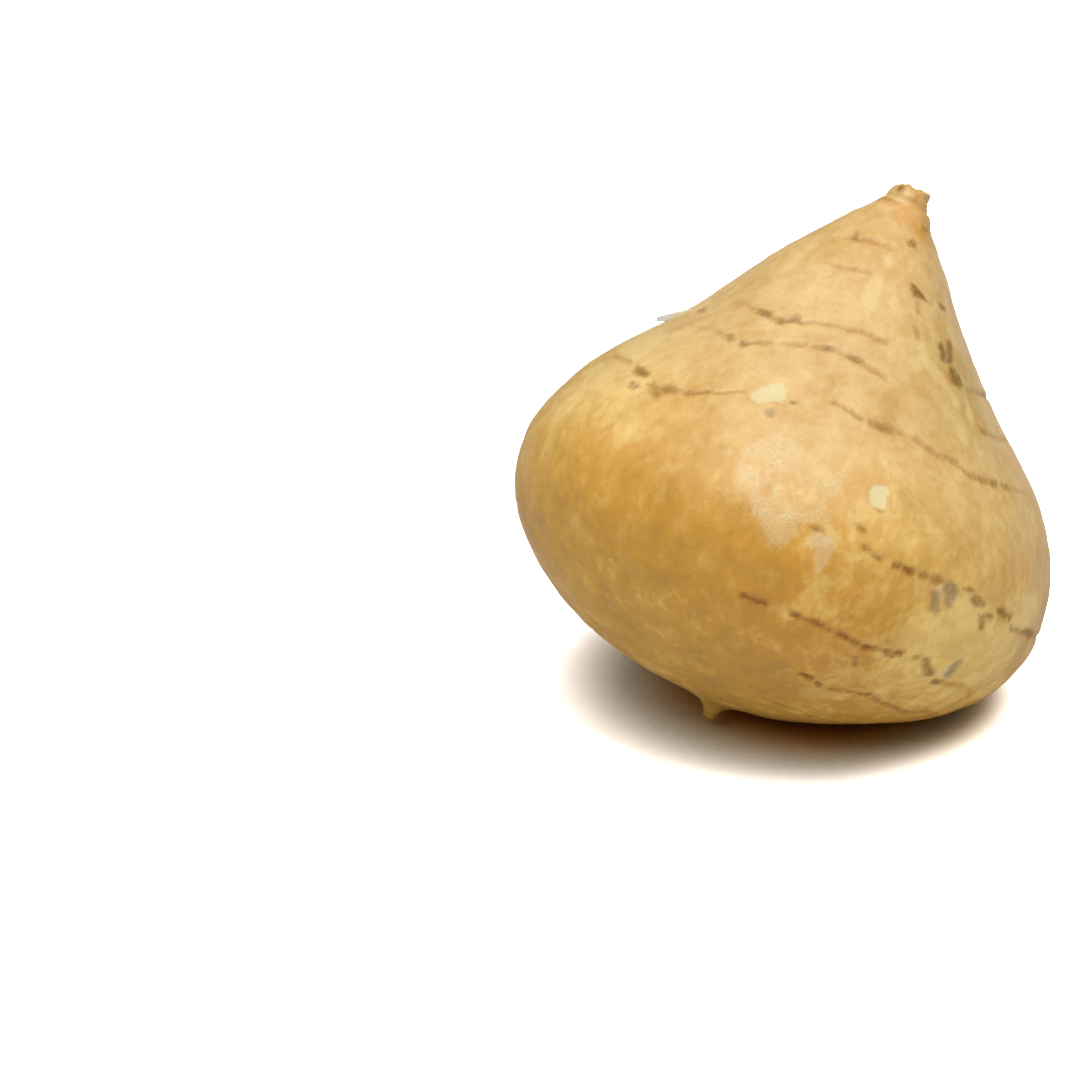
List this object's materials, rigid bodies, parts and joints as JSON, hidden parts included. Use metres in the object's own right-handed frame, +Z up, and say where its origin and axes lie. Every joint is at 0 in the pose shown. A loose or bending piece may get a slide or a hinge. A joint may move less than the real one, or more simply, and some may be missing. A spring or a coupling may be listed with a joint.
{
  "type": "jicama",
  "caption": "Whole raw jicama root: a squat, top-shaped tuber with a pointed neck, cut stem stub, shallow growth rings and a short broken taproot, lying tilted on its side.",
  "frame": {"origin": "on the surface the tuber lies on, under the middle of its bounding box", "axes": "+Z up from the resting surface; the growth axis, from root end to stem stub, leans 20.5 degrees towards +X and then 23 degrees towards +Y; -Y is the side shown in the picture"},
  "size_m": [0.1168, 0.12, 0.1115],
  "materials": {
    "skin": "thin tan-ochre root skin, satin, mottled with cream and ochre, with fine brown growth rings"
  },
  "bodies": {
    "root": {"tuber": "skin"}
  },
  "joints": []
}
